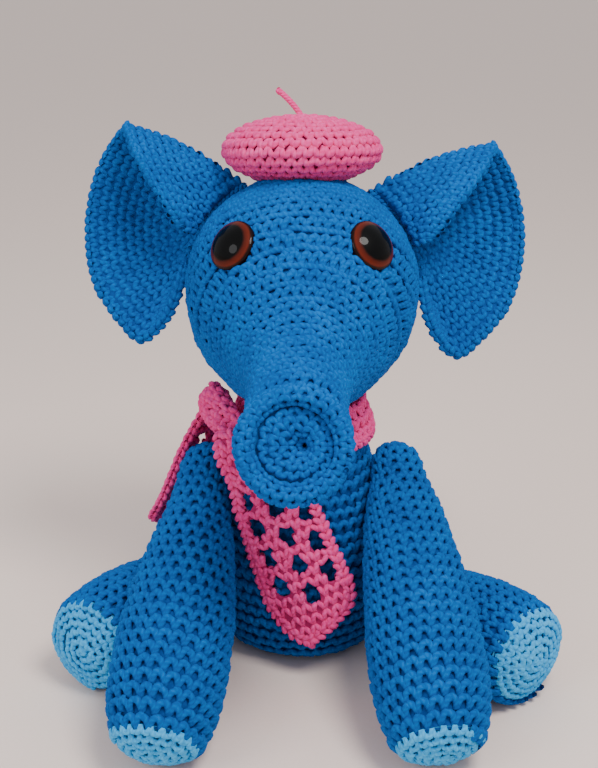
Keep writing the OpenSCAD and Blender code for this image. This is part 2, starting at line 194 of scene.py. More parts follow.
def new_object(name, verts, faces, materials, uvs=None):
    """Object from arrays: verts in mm, faces of equal length, uvs one per corner."""
    mesh = bpy.data.meshes.new(name)
    verts = np.ascontiguousarray(np.asarray(verts, float) * MM, dtype=np.float32)
    faces = np.ascontiguousarray(faces, dtype=np.int32)
    mesh.vertices.add(len(verts))
    mesh.vertices.foreach_set("co", verts.ravel())
    mesh.loops.add(faces.size)
    mesh.loops.foreach_set("vertex_index", faces.ravel())
    mesh.polygons.add(len(faces))
    starts = np.arange(0, faces.size, faces.shape[1], dtype=np.int32)
    mesh.polygons.foreach_set("loop_start", starts)
    mesh.polygons.foreach_set("use_smooth", np.ones(len(faces), dtype=bool))
    if uvs is not None:
        layer = mesh.uv_layers.new(name="strand")
        layer.uv.foreach_set("vector", np.ascontiguousarray(uvs, dtype=np.float32).ravel())
    mesh.update(calc_edges=True)
    for m in materials:
        mesh.materials.append(m)
    obj = bpy.data.objects.new(name, mesh)
    bpy.context.scene.collection.objects.link(obj)
    return obj


def run_along(path):
    """Length of the path up to each of its points."""
    return np.concatenate([[0], np.cumsum(np.linalg.norm(np.diff(path, axis=0), axis=1))])


def ring_quads(rings, sides):
    """Faces between neighbouring rings of points, each ring closed on itself."""
    i, j = np.meshgrid(np.arange(rings - 1), np.arange(sides), indexing="ij")
    after = (j + 1) % sides
    quads = np.stack([i * sides + j, i * sides + after, (i + 1) * sides + after, (i + 1) * sides + j],
                     -1)
    return quads.reshape(-1, 4)


def tubes(centres, out, radius, sides=6, flat=1.0):
    """Tubes along many centre lines: centres (n, k, 3), out (n, k, 3), radius (n, k).

    flat is how much wider than high each tube is, as yarn that is pressed into fabric.
    The uv runs round each tube, and along it in mm from a start of its own.
    """
    n, k, _ = centres.shape
    along = unit(np.gradient(centres, axis=1))
    across = unit(np.cross(along, out))
    up = np.cross(across, along)
    a = 2 * np.pi * np.arange(sides) / sides
    ring = (flat * across[:, :, None] * np.cos(a)[:, None] + up[:, :, None] * np.sin(a)[:, None])
    verts = centres[:, :, None] + radius[:, :, None, None] * ring
    quads = ring_quads(k, sides)[None] + (np.arange(n) * k * sides)[:, None, None]
    length = np.linalg.norm(np.diff(centres, axis=1), axis=2)
    run = np.concatenate([np.zeros((n, 1)), np.cumsum(length, axis=1)], axis=1)
    run = run + (np.arange(n) * 7.31 % 5.0)[:, None]
    i, j = np.meshgrid(np.arange(k - 1), np.arange(sides), indexing="ij")
    v = np.stack([run[:, i], run[:, i], run[:, i + 1], run[:, i + 1]], -1)
    u = np.broadcast_to(np.stack([j, j + 1, j + 1, j], -1) / sides, v.shape)
    uv = np.stack([u, v], -1)
    return verts.reshape(-1, 3), quads.reshape(-1, 4), uv.reshape(-1, 2)


def gather(parts):
    """Joins several (verts, quads, uv) into one."""
    verts, quads, uvs, start = [], [], [], 0
    for v, q, t in parts:
        verts.append(v)
        quads.append(q + start)
        uvs.append(t)
        start += len(v)
    return np.concatenate(verts), np.concatenate(quads), np.concatenate(uvs)


# ---- crochet stitches ----

# Half of a single crochet, from its foot in the row below up and out to its neighbour:
# across (of the stitch's width), along (of the row's height), out and thickness (of the yarn's).
# POST is tight fabric: short posts under a solid band, with a hole beside each post.
POST = np.array([(0.05, -0.62, -1.10, 0.85), (0.08, -0.37, -0.25, 0.95), (0.14, -0.12, 0.20, 1.05),
                 (0.26, 0.08, 0.50, 1.10), (0.42, 0.16, 0.45, 1.12), (0.60, 0.16, -0.20, 0.95)])
# VEE is stretched fabric: the two slanting strands of each stitch show.
VEE = np.array([(0.05, -0.60, -1.15, 0.85), (0.11, -0.34, -0.05, 1.00), (0.20, -0.10, 0.35, 1.08),
                (0.31, 0.10, 0.45, 1.12), (0.42, 0.22, 0.25, 1.05), (0.55, 0.28, -0.50, 0.85)])
# TALL is a long stitch: narrow posts, a low arch and a second strand (TOP) over the arch.
TALL = np.array([(0.05, -0.66, -1.10, 0.85), (0.06, -0.45, -0.30, 0.78), (0.12, -0.24, 0.22, 0.90),
                 (0.27, -0.07, 0.50, 1.12), (0.43, -0.01, 0.48, 1.15), (0.60, -0.01, -0.10, 0.95)])
TOP = np.array([(-0.62, 0.24, -0.20, 0.95), (-0.42, 0.31, 0.30, 1.12), (-0.15, 0.33, 0.48, 1.15),
                (0.15, 0.33, 0.48, 1.15), (0.42, 0.31, 0.30, 1.12), (0.62, 0.24, -0.20, 0.95)])


class Stitches:
    """Places of many stitches: centre, one stitch across, one row along, outwards, and the bend.

    The bend is how far the surface leaves the flat of the stitch, one row away from its centre.
    """

    def __init__(self, p, u, v, n, w=None):
        self.p, self.u, self.v, self.n = p, u, v, unit(n)
        self.w = np.zeros_like(p) if w is None else w

    def moved(self, m):
        r = m[:3, :3].T
        return Stitches(placed(self.p, m), self.u @ r, self.v @ r, self.n @ r, self.w @ r)

    def lifted(self, d):
        return Stitches(self.p + self.n * d, self.u, self.v, self.n, self.w)

    def only(self, which):
        return Stitches(*[getattr(self, k)[which] for k in "puvnw"])


def joined(sets):
    return Stitches(*[np.concatenate([getattr(s, k) for s in sets]) for k in "puvnw"])


def vees(st, yarn, seed, shape=POST, flat=1.15, wobble=1.0, sides=(-1, 1)):
    """Yarn of the stitches, each a tube of the given shape on each of its sides."""
    rng = np.random.default_rng(seed)
    n = len(st.p)
    wob = rng.normal(0, 0.045 * wobble, (n, 4))
    p = st.p + st.u * wob[:, :1] + st.v * wob[:, 1:2] + st.n * (wob[:, 2:3] * 2.2 * yarn)
    thick = yarn * (1 + wob[:, 3] * 1.2)
    parts = []
    for side in sides:
        x, y, z, r = shape.T
        c = (p[:, None] + st.u[:, None] * (side * x)[:, None] + st.v[:, None] * y[:, None]
             + st.n[:, None] * (z * yarn)[:, None] + st.w[:, None] * (y * y)[:, None])
        out = np.broadcast_to(st.n[:, None], c.shape)
        parts.append(tubes(c, out, thick[:, None] * r[None], flat=flat))
    return gather(parts)


def rope(path, out, yarn, twist, plies=2):
    """Plies of yarn twisted round one path of points."""
    path, out = np.asarray(path, float), np.asarray(out, float)
    along = unit(np.gradient(path, axis=0))
    across = unit(np.cross(along, out))
    up = np.cross(across, along)
    run = run_along(path)
    lines, outs = [], []
    for k in range(plies):
        a = 2 * np.pi * (run / twist + k / plies)
        away = across * np.cos(a)[:, None] + up * np.sin(a)[:, None]
        lines.append(path + away * yarn)
        outs.append(up)
    lines = np.array(lines)
    return tubes(lines, np.array(outs), np.full(lines.shape[:2], yarn * 1.08), sides=8)


def resampled(path, step):
    """The same path with points step apart."""
    path = np.asarray(path, float)
    run = run_along(path)
    n = max(int(round(run[-1] / step)), 2)
    at = np.linspace(0, run[-1], n + 1)
    return np.stack([np.interp(at, run, path[:, i]) for i in range(path.shape[1])], -1)


# ---- rounds on a surface of revolution ----

def dense(stations, n=160):
    return curve(stations, np.linspace(0, 1, n))


def round_end(r):
    a = np.radians(np.linspace(0, 90, 24)[:-1])
    return np.stack([r * np.sin(a), -r * np.cos(a)], -1)


def dome(r, h, z, n=24):
    """Outline [radius, height] of a dome on a rim of radius r, from the rim to the middle."""
    big = (r * r + h * h) / (2 * h)
    a = np.linspace(math.asin(min(r / big, 1)), 0, n)
    return np.stack([big * np.sin(a), z + h - big + big * np.cos(a)], -1)


def inset(line, t):
    d = unit(np.gradient(line, axis=0))
    return np.stack([np.maximum(line[:, 0] - t * d[:, 1], 0), line[:, 1] + t * d[:, 0]], -1)


def rounds(line, pitch, width, lean=0.0, flip=1, start=0.0):
    """Spiral rounds of stitches up an outline [radius, height] with its outside on the right."""
    line = np.asarray(line, float)
    run = run_along(line)
    slope = unit(np.gradient(line, axis=0))
    rows = max(int(round((run[-1] - start) / pitch)), 1)
    pitch = (run[-1] - start) / rows
    p, u, v, n = [], [], [], []
    phase = 0.0
    for k in range(rows):
        mid = start + (k + 0.5) * pitch
        r_mid = np.interp(mid, run, line[:, 0])
        count = max(int(round(2 * np.pi * r_mid / width)), 5)
        i = np.arange(count)
        s = np.clip(mid + pitch * ((i + 0.5) / count - 0.5), 0, run[-1])
        r, z = np.interp(s, run, line[:, 0]), np.interp(s, run, line[:, 1])
        dr, dz = np.interp(s, run, slope[:, 0]), np.interp(s, run, slope[:, 1])
        a = 2 * np.pi * (i + 0.5) / count + phase
        phase += lean * 2 * np.pi / count
        c, q, o = np.cos(a), np.sin(a), np.zeros(count)
        p.append(np.stack([r * c, r * q, z], -1))
        u.append((2 * np.pi * r_mid / count) * np.stack([-q, c, o], -1))
        v.append(flip * pitch * np.stack([dr * c, dr * q, dz], -1))
        n.append(np.stack([dz * c, dz * q, -dr], -1))
    return Stitches(*[np.concatenate(x) for x in (p, u, v, n)])


def lathe(line, sides=48):
    """Closed surface of revolution through an outline [radius, height]."""
    a = 2 * np.pi * np.arange(sides) / sides
    k = len(line)
    verts = np.stack([line[:, :1] * np.cos(a), line[:, :1] * np.sin(a),
                      np.repeat(line[:, 1:], sides, 1)], -1).reshape(-1, 3)
    return verts, ring_quads(k, sides)


def crocheted(name, yarn_mesh, backing, yarn_material, backing_material):
    """One object of the stitches and of the backing that shows between them, coloured darker as
    painted shade.
    """
    verts, quads, uv = gather([yarn_mesh, (*backing, np.zeros((backing[1].size, 2)))])
    obj = new_object(name, verts, quads, [yarn_material, backing_material], uv)
    which = np.zeros(len(quads), dtype=np.int32)
    which[len(yarn_mesh[1]):] = 1
    obj.data.polygons.foreach_set("material_index", which)
    obj.data.update()
    return obj


# ---- materials ----

def srgb(code):
    c = np.array([int(code[i:i + 2], 16) / 255 for i in (1, 3, 5)])
    c = np.where(c <= 0.04045, c / 12.92, ((c + 0.055) / 1.055) ** 2.4)
    return (*[float(x) for x in c], 1.0)


def shader(name, rough, sheen=0.0, coat=0.0):
    m = bpy.data.materials.new(name)
    m.use_nodes = True
    b = m.node_tree.nodes["Principled BSDF"]
    b.inputs["Roughness"].default_value = rough
    b.inputs["Sheen Weight"].default_value = sheen
    b.inputs["Sheen Roughness"].default_value = 0.5
    b.inputs["Coat Weight"].default_value = coat
    b.inputs["Coat Roughness"].default_value = 0.03
    b.inputs["Coat IOR"].default_value = 1.35
    return m, b


def ramp(nodes, stops):
    r = nodes.new("ShaderNodeValToRGB")
    while len(r.color_ramp.elements) < len(stops):
        r.color_ramp.elements.new(0.5)
    for e, (at, colour) in zip(r.color_ramp.elements, stops):
        e.position = at
        e.color = colour
    return r


def node(nodes, kind, **values):
    """New node with the values of its inputs, by their names."""
    new = nodes.new(kind)
    for name, value in values.items():
        new.inputs[name].default_value = value
    return new


def yarn_material(name, deep, mid, light, fuzz, sheen=0.2):
    """Plied acrylic yarn: grooves between its plies, also coloured darker as painted shade, soft
    blotches and fine fibres.
    """
    m, b = shader(name, 0.92, sheen)
    nodes, links = m.node_tree.nodes, m.node_tree.links
    b.inputs["Specular IOR Level"].default_value = 0.1
    b.inputs["Sheen Tint"].default_value = srgb(fuzz)
    uv = nodes.new("ShaderNodeUVMap")
    uv.uv_map = "strand"
    skew = node(nodes, "ShaderNodeMapping", Scale=(3.0, 0.62, 1.0))
    links.new(uv.outputs["UV"], skew.inputs["Vector"])
    ply = node(nodes, "ShaderNodeTexWave", Scale=0.55, Distortion=0.6, Detail=1.0)
    ply.wave_type = "BANDS"
    ply.bands_direction = "DIAGONAL"
    links.new(skew.outputs["Vector"], ply.inputs["Vector"])
    place = nodes.new("ShaderNodeTexCoord")
    blotch = node(nodes, "ShaderNodeTexNoise", Scale=90.0, Detail=3.0)
    links.new(place.outputs["Object"], blotch.inputs["Vector"])
    fibre = node(nodes, "ShaderNodeTexNoise", Scale=2600.0, Detail=2.0)
    links.new(place.outputs["Object"], fibre.inputs["Vector"])
    coarse = node(nodes, "ShaderNodeMix", Factor=0.3)
    links.new(blotch.outputs["Fac"], coarse.inputs["A"])
    links.new(ply.outputs["Fac"], coarse.inputs["B"])
    fine = node(nodes, "ShaderNodeMix", Factor=0.25)
    links.new(coarse.outputs["Result"], fine.inputs["A"])
    links.new(fibre.outputs["Fac"], fine.inputs["B"])
    # The ply bands darken the colour in the grooves between plies, as painted shade; the blotches and
    # fibres are the yarn's own uneven tone.
    tones = ramp(nodes, [(0.25, srgb(deep)), (0.5, srgb(mid)), (0.78, srgb(light))])
    links.new(fine.outputs["Result"], tones.inputs["Fac"])
    links.new(tones.outputs["Color"], b.inputs["Base Color"])
    bump = node(nodes, "ShaderNodeBump", Strength=0.5, Distance=0.0004)
    links.new(fine.outputs["Result"], bump.inputs["Height"])
    links.new(bump.outputs["Normal"], b.inputs["Normal"])
    return m


def backing_material(name, deep, light):
    """The fabric's shaded depth as painted shade: darker tones in fine noise, seen only through the
    gaps between stitches.
    """
    m, b = shader(name, 1.0)
    nodes, links = m.node_tree.nodes, m.node_tree.links
    b.inputs["Specular IOR Level"].default_value = 0.05
    place = nodes.new("ShaderNodeTexCoord")
    noise = node(nodes, "ShaderNodeTexNoise", Scale=700.0)
    links.new(place.outputs["Object"], noise.inputs["Vector"])
    tones = ramp(nodes, [(0.3, srgb(deep)), (0.7, srgb(light))])
    links.new(noise.outputs["Fac"], tones.inputs["Fac"])
    links.new(tones.outputs["Color"], b.inputs["Base Color"])
    return m


# Each backing below is coloured darker than its yarn: painted shade of the fabric's depth, seen only
# through the gaps between stitches.
BLUE = yarn_material("blue_yarn", "#004b92", "#005aa8", "#066dbc", "#2f86d8")
BLUE_PAINTED_SHADE = backing_material("blue_painted_shade", "#053f82", "#094c94")
FACE_PAINTED_SHADE = backing_material("face_painted_shade", "#0b559f", "#1162ad")
SOLE = yarn_material("light_blue_yarn", "#2092d2", "#36a9e6", "#4fbdf4", "#93d7ff")
SOLE_PAINTED_SHADE = backing_material("light_blue_painted_shade", "#3c94c6", "#4aa2d4")
PINK = yarn_material("pink_yarn", "#e02f80", "#ec4590", "#f361a6", "#ff8fc0")
PINK_PAINTED_SHADE = backing_material("pink_painted_shade", "#a02058", "#b02f68")


# ---- torso ----

YARN = 1.12  # radius of the blue yarn
SUNK = 0.75  # how far the stitches' middles lie under the CAD surface
DEPTH = 1.55  # how far the backing lies under it
ROW, WIDTH = 5.3, 5.15  # one stitch of the body and limbs
SOLE_YARN, SOLE_SUNK, SOLE_DEPTH = 0.85, 0.6, 1.7  # the same for the soles
SOLE_ROW, SOLE_WIDTH = 3.4, 3.7  # one stitch of the soles
LEAN = 0.1  # how far each round starts past the one before, in stitches


def finish_piece(obj, body, nodes):
    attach(obj, body)
    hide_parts(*nodes)


def uneven(st, size):
    return st.lifted(lumps(st.p, size)[:, None])


def torso():
    side = dense(TORSO_LINE)
    seat = np.stack([np.linspace(0.5, 24, 12), np.zeros(12)], -1)
    line = np.concatenate([seat, side])
    st = uneven(rounds(inset(line, SUNK), ROW, WIDTH, lean=LEAN), 0.5)
    back = lathe(inset(line, DEPTH))
    obj = crocheted("torso_crochet", vees(st, YARN, 11), back, BLUE, BLUE_PAINTED_SHADE)
    finish_piece(obj, "torso", ["torso_skin", "torso_stuffing", "neck_seam"])


# ---- limbs ----

def limb(kind, side, stations, end_r, sole_r, place, seed):
    name = SIDE_NAME[side]
    m = place(side)
    length = stations[-1][1]
    line = np.concatenate([round_end(end_r), dense(stations)])
    st = uneven(rounds(inset(line, SUNK), ROW, WIDTH, lean=LEAN * side, flip=-1).moved(m), 0.45)
    verts, quads = lathe(inset(line, DEPTH))
    skin = crocheted(f"{kind}_{name}_crochet", vees(st, YARN, seed), (placed(verts, m), quads),
                     BLUE, BLUE_PAINTED_SHADE)
    finish_piece(skin, f"{kind}_{name}",
                 [f"{kind}_{name}_skin", f"{kind}_{name}_stuffing"])
    cap = dome(sole_r, SOLE_DOME, length)
    sole_st = rounds(inset(cap, SOLE_SUNK), SOLE_ROW, SOLE_WIDTH, lean=0.3 * side, start=0.9)
    sole_st = uneven(sole_st.moved(m), 0.5)
    verts, quads = lathe(inset(cap, SOLE_DEPTH))
    yarn = vees(sole_st, SOLE_YARN, seed + 1, POST, 1.2, 1.6)
    sole = crocheted(f"{kind}_{name}_sole_crochet", yarn, (placed(verts, m), quads), SOLE, SOLE_PAINTED_SHADE)
    finish_piece(sole, f"{kind}_{name}", [f"{kind}_{name}_sole"])


# ---- head and trunk ----

CROWN_RINGS = [(-HEAD_R * math.cos(a) * math.cos(math.radians(CROWN_LEAN)),
                HEAD_R * math.cos(a) * math.sin(math.radians(CROWN_LEAN)),
                CROWN_LEAN, HEAD_R * math.sin(a)) for a in np.radians([0.3, *range(2, 90, 8)])]
TIP_OUT = [(0, 0), (1.8, -0.6), (2.9, -2.2), (3.0, -4.3), (1.6, -6.2), (-0.8, -7.0), (-1.2, -8.2),
           (-0.6, -10.5), (-0.6, -13.5), (-2.0, -16.3), (-5.0, -18.8), (-8.5, -20.7)]
DENT_SHIFT = 4.0  # how far the dent in the trunk's end lies to one side
HEAD_ROW = ([15, 19, 26, 34, 48], [4.8, 5.6, 7.0, 7.7, 7.3])  # radius, and the rows' pitch there
TIP_ROW = 3.3  # the rows' pitch on the trunk's end
HEAD_COUNT = 72  # stitches round the widest ring
NARROW, NARROW_WIDTH = 15, 4.2  # below this radius, stitches have this width
LONGEST = 10.0  # places longer than about this hold more than one stitch
TALL_FROM = 4.6  # stitches this long show their posts
CHEEK_FROM = 26.0  # how far to the side the cheeks begin
HEAD_DEPTH = 1.3  # how far the backing lies under the CAD surface
HEAD_SIDES = 56


def tip_ring(out, less):
    f, u, lean, r = FACE[-1]
    c, s = math.cos(math.radians(lean)), math.sin(math.radians(lean))
    return (f + out * c, u - out * s, lean, r + less)


FACE_RINGS = [tuple(x) for x in curve(FACE, np.linspace(0, 1, 65))]
TIP_RINGS = [tuple(x) for x in curve([tip_ring(*t) for t in TIP_OUT], np.linspace(0, 1, 40))]
HEAD_RINGS = np.array(CROWN_RINGS + FACE_RINGS + TIP_RINGS[1:])
HEAD_LAST = len(HEAD_RINGS) - 1


def head_point(t, a, cut=0.0):
    """Point on the head: t counts the rings from the crown to the tip, a goes round, in radians."""
    base = np.arange(len(HEAD_RINGS))
    f, u, lean, r = [np.interp(t, base, HEAD_RINGS[:, i]) for i in range(4)]
    r = r - cut
    lean = np.radians(lean)
    v = r * np.sin(a)
    sway = TRUNK_SWAY * (np.clip(f, 0, FACE[-1][0]) / FACE[-1][0]) ** 2
    sway = sway - DENT_SHIFT * np.clip((t - len(HEAD_RINGS) + 16) / 16, 0, 1)
    return np.stack([r * np.cos(a) - sway, -(f + v * np.sin(lean)), u + v * np.cos(lean)], -1)


def surface_stitches(point, t, a, dt, da, flip):
    """Stitches at (t, a) on a surface point(t, a), each dt by da in size."""
    on, after, before = point(t, a), point(t + dt / 2, a), point(t - dt / 2, a)
    along, bend = after - before, 2 * (after + before - 2 * on)
    across = point(t, a + da / 2) - point(t, a - da / 2)
    return on, across, flip * along, unit(np.cross(across, along)), bend


def head_rows():
    """Place t of each row (whole or part) along the top of the head, and how many rows fit."""
    t = np.linspace(0, len(HEAD_RINGS) - 1, 900)
    top = head_point(t, np.full(len(t), np.pi / 2))
    step = np.linalg.norm(np.diff(top, axis=0), axis=1)
    r = np.interp(t, np.arange(len(HEAD_RINGS)), HEAD_RINGS[:, 3])
    pitch = np.interp(r[1:], *HEAD_ROW)
    pitch = np.where(t[1:] > len(CROWN_RINGS) + len(FACE_RINGS) - 2, TIP_ROW, pitch)
    count = np.concatenate([[0], np.cumsum(step / pitch)])
    return (lambda row: np.interp(row, count, t)), int(count[-1])


def head_row(k, place, phase):
    """Stitches of row k, whether they are on the trunk's end, and how many places the row has.

    Where the rows lie far apart, each place holds two or more stitches, one behind the other.
    """
    mid = place(k + 0.5)
    r = np.interp(mid, np.arange(len(HEAD_RINGS)), HEAD_RINGS[:, 3])
    count = max(int(round(r * HEAD_COUNT / HEAD_R)), 6)
    if r < NARROW:
        count = max(int(round(2 * np.pi * r / NARROW_WIDTH)), 6)
    i, da = np.arange(count), 2 * np.pi / count
    a = 2 * np.pi * (i + 0.5) / count + phase
    row = k + (i + 0.5) / count
    v = surface_stitches(head_point, place(row), a, place(row + 0.5) - place(row - 0.5), da, -1)[2]
    split = np.maximum(np.round(np.linalg.norm(v, axis=1) / LONGEST), 1).astype(int)
    sets = []
    for m in np.unique(split):
        which = split == m
        for j in range(m):
            at = row[which] + (j + 0.5) / m - 0.5
            dt = place(at + 0.5 / m) - place(at - 0.5 / m)
            t = np.clip(place(at), 0.1, HEAD_LAST - 0.1)
            sets.append(Stitches(*surface_stitches(head_point, t, a[which] + (j % 2) * np.pi / count,
                                                   dt, da, -1)))
    return joined(sets), mid > HEAD_LAST - len(TIP_RINGS), count


def head_stitches():
    """All stitches of the head and trunk, and which of them are on the trunk's end."""
    place, rows = head_rows()
    sets, on_tip, phase = [], [], 0.0
    for k in range(rows):
        st, tip, count = head_row(k, place, phase)
        phase += 0.12 * 2 * np.pi / count
        sets.append(st)
        on_tip.append(np.full(len(st.p), tip))
    return uneven(joined(sets).lifted(-SUNK).moved(HEAD), 0.45), np.concatenate(on_tip)


def head_backing():
    t, a = np.arange(0, len(HEAD_RINGS), dtype=float), 2 * np.pi * np.arange(HEAD_SIDES) / HEAD_SIDES
    grid_t, grid_a = np.meshgrid(t, a, indexing="ij")
    base = head_point(grid_t, grid_a)
    out = surface_stitches(head_point, np.clip(grid_t, 0.1, HEAD_LAST - 0.1), grid_a, 0.1, 0.1, 1)[3]
    verts = placed((base - HEAD_DEPTH * out).reshape(-1, 3), HEAD)
    return verts, ring_quads(len(t), HEAD_SIDES)


def head():
    st, on_tip = head_stitches()
    tall = np.linalg.norm(st.v, axis=1) > TALL_FROM
    cheek = np.abs(st.p[:, 0]) > CHEEK_FROM
    face, trunk, sides, end = [st.only(k) for k in (
        ~on_tip & tall, ~on_tip & ~tall & ~cheek, ~on_tip & ~tall & cheek, on_tip)]
    yarn = gather([vees(face, YARN, 21, TALL), vees(face, YARN, 23, TOP, sides=(1,)),
                   vees(sides, 1.0, 24, VEE, 1.4), vees(trunk, 1.0, 25, POST, 1.1),
                   vees(end, 1.0, 22, POST, 1.1)])
    obj = crocheted("head_crochet", yarn, head_backing(), BLUE, FACE_PAINTED_SHADE)
    finish_piece(obj, "head", ["head_skin", "head_stuffing"])


torso()
limb("arm", LEFT, ARM_LINE[LEFT], SHOULDER_R, ARM_SOLE_R, arm_place, 31)
limb("arm", RIGHT, ARM_LINE[RIGHT], SHOULDER_R, ARM_SOLE_R, arm_place, 41)
limb("leg", LEFT, LEG_LINE, HIP_R, LEG_SOLE_R, leg_place, 51)
limb("leg", RIGHT, LEG_LINE, HIP_R, LEG_SOLE_R, leg_place, 61)
head()


# ---- sewing at the shoulders and hips ----

SEAM_TURN = 15.5  # how far the torso's side leans at the shoulder
SHOULDER_SEAM = (2.5, 0.17)  # radius of the ring and of each strand
HIP_SEAM = (4.5, 0.4)
SEAM_TWIST = 2.6


def seam(name, place, radius, yarn):
    """Ring of sewing yarn, twisted from two strands, that lies on the torso."""
    a = np.radians(np.arange(0, 361, 6))
    out = np.stack([np.cos(a), np.sin(a), 0 * a], -1)
    v, q, t = rope(radius * out, out, yarn, SEAM_TWIST)
    obj = new_object(f"{name}_thread", placed(v, place), q, [BLUE], t)
    finish_piece(obj, "torso", [name])


def seams(side):
    name = SIDE_NAME[side]
    shoulder = (mirror(side) @ spin("z", -SHOULDER_TURN)
                @ shift(SHOULDER_OUT + JOINT_GAP + SHOULDER_R, 0, SHOULDER_UP)
                @ spin("y", -SEAM_TURN) @ shift(-SHOULDER_R - JOINT_GAP / 2, 0, 0) @ spin("y", 90))
    seam(f"shoulder_seam_{name}", shoulder, *SHOULDER_SEAM)
    hip = mirror(side) @ spin("z", -HIP_TURN[side]) @ shift(HIP_OUT + 1.0, 0, HIP_UP) @ spin("y", 90)
    seam(f"hip_seam_{name}", hip, *HIP_SEAM)


seams(LEFT)
seams(RIGHT)


# ---- ears ----

def ear_root_point(w, forward):
    r = HEAD_R + SKIN_T / 2 + 0.9
    a = math.radians(55 - 38 * w)
    return r * math.cos(a), forward * w, r * math.sin(a)


EAR_SPAN = (0.022, 0.978)  # the part of the outline that is clear of the head
EAR_HALF = 0.55  # how far the stitches' middles lie from the fabric's own
EAR_ROOT_LINE = [ear_root_point(w, 6 if i < EAR_FOLD else -2) for i, w in enumerate(EAR_ROOT)]


def ear_point(r, t):
    """Point of the ear at r (0 at the root, 1 at the edge) and t round the outline."""
    r, t = np.broadcast_arrays(np.asarray(r, float), np.asarray(t, float))
    a, b = curve(EAR_ROOT_LINE, t), curve(EAR_EDGE, t)
    k, m = t * 15, np.sin(np.pi * np.clip(r, 0, 1))
    back, flap = np.clip((k - EAR_FOLD) / 2, 0, 1), np.clip((EAR_FOLD - k) / 2, 0, 1)
    ridge = np.clip(1 - abs(k - EAR_FOLD) / 2, 0, 1)
    cup = EAR_CUP * back * np.where(k < 12, 1, (15 - k) / 3)
    q = a + (b - a) * r[..., None]
    return np.stack([q[..., 0], -(q[..., 1] + m * (2.5 * flap - cup)), q[..., 2] + 3 * m * ridge],
                    -1)


def ear_normal(r, t):
    e = 0.01
    r, t = np.clip(r, 0.03, 0.97), np.clip(t, 0.015, 0.985)
    dr = ear_point(r + e, t) - ear_point(r - e, t)
    dt = ear_point(r, t + e) - ear_point(r, t - e)
    return unit(np.cross(dt, dr))


def ear_row(t, line, k, pitch, width, reach):
    """Stitches of the row k rows in from the edge, along one stretch of it, the line at t."""
    length = run_along(line)
    count = int(round(length[-1] / width))
    if count < 1:
        return None
    at = (np.arange(count) + 0.5 + 0.25 * (k % 2)) * length[-1] / (count + 0.25)
    ti = np.interp(at, length, t)
    ri = 1 - (k + 0.5) * pitch / np.interp(ti, *reach)
    e = 0.002
    side = unit(ear_point(ri, ti + e) - ear_point(ri, ti - e))
    out = unit(ear_point(np.minimum(ri + 0.02, 1.02), ti) - ear_point(ri - 0.02, ti))
    return Stitches(ear_point(ri, ti), side * width, out * pitch, ear_normal(ri, ti))


def ear_rows(pitch, width):
    """Rows parallel to the ear's edge, each as far along as it meets the sewn root."""
    t = np.linspace(*EAR_SPAN, 500)
    reach = np.linalg.norm(ear_point(1.0, t) - ear_point(0.0, t), axis=1)
    rows = []
    for k in range(int(reach.max() / pitch)):
        r = 1 - (k + 0.5) * pitch / reach
        keep = np.where(r > 0.01)[0]
        if len(keep) < 12:
            break
        for run in np.split(keep, np.where(np.diff(keep) > 1)[0] + 1):
            if len(run) >= 8:
                line = ear_point(r[run], t[run])
                rows.append(ear_row(t[run], line, k, pitch, width, (t, reach)))
    return joined([row for row in rows if row is not None])


def ear_edge_braid(width):
    """The last row's loops, seen along the ear's edge."""
    t = np.linspace(*EAR_SPAN, 500)
    line = ear_point(1.0, t)
    length = run_along(line)
    count = int(round(length[-1] / width))
    ti = np.interp((np.arange(count) + 0.5) * length[-1] / count, length, t)
    side = unit(ear_point(1.0, ti + 0.004) - ear_point(1.0, ti - 0.004))
    n = ear_normal(np.full(count, 1.0), ti)
    out = unit(np.cross(side, n))
    out *= np.sign(np.sum(out * (ear_point(1.0, ti) - ear_point(0.9, ti)), -1))[:, None]
    return Stitches(ear_point(1.0, ti) - 0.3 * out, n * 3.6, side * width, out)


def sheet_mesh(grid, normal, half):
    """Closed thin slab on a grid of points (rows, columns, 3)."""
    rows, cols, _ = grid.shape
    front, back = (grid + half * normal).reshape(-1, 3), (grid - half * normal).reshape(-1, 3)
    i, j = np.meshgrid(np.arange(rows - 1), np.arange(cols - 1), indexing="ij")
    a = i * cols + j
    q = rows * cols
    top = np.stack([a, a + 1, a + cols + 1, a + cols], -1).reshape(-1, 4)
    rim = np.concatenate([np.arange(cols), (np.arange(1, rows)) * cols + cols - 1,
                          (rows - 1) * cols + np.arange(cols - 2, -1, -1),
                          np.arange(rows - 2, 0, -1) * cols])
    nxt = np.roll(rim, -1)
    wall = np.stack([nxt, rim, rim + q, nxt + q], -1)
    return np.concatenate([front, back]), np.concatenate([top, top[:, ::-1] + q, wall])


def ear_yarn(m, seed):
    """Both faces' stitches, the edge's loops and the sewing at the root."""
    rows = ear_rows(4.0, 4.3)
    rows = rows.lifted(lumps(rows.p * 1.4, 0.4)[:, None])
    far = Stitches(rows.p, rows.u, rows.v, -rows.n)
    st = joined([rows.lifted(EAR_HALF), far.lifted(EAR_HALF)]).moved(m)
    edge = ear_edge_braid(3.6).moved(m)
    w = np.linspace(-0.03, 1.02, 60)
    root = np.array([ear_root_point(k, 1.5 * math.sin(9 * k) - 0.5) for k in w]) * [1, -1, 1]
    sewn = rope(placed(root * 0.985, m), unit(placed(root, m) - placed(np.zeros(3), m)), 0.85, 4.4)
    return gather([vees(st, 0.92, seed, VEE, 1.25), vees(edge, 1.0, seed + 1, VEE), sewn])


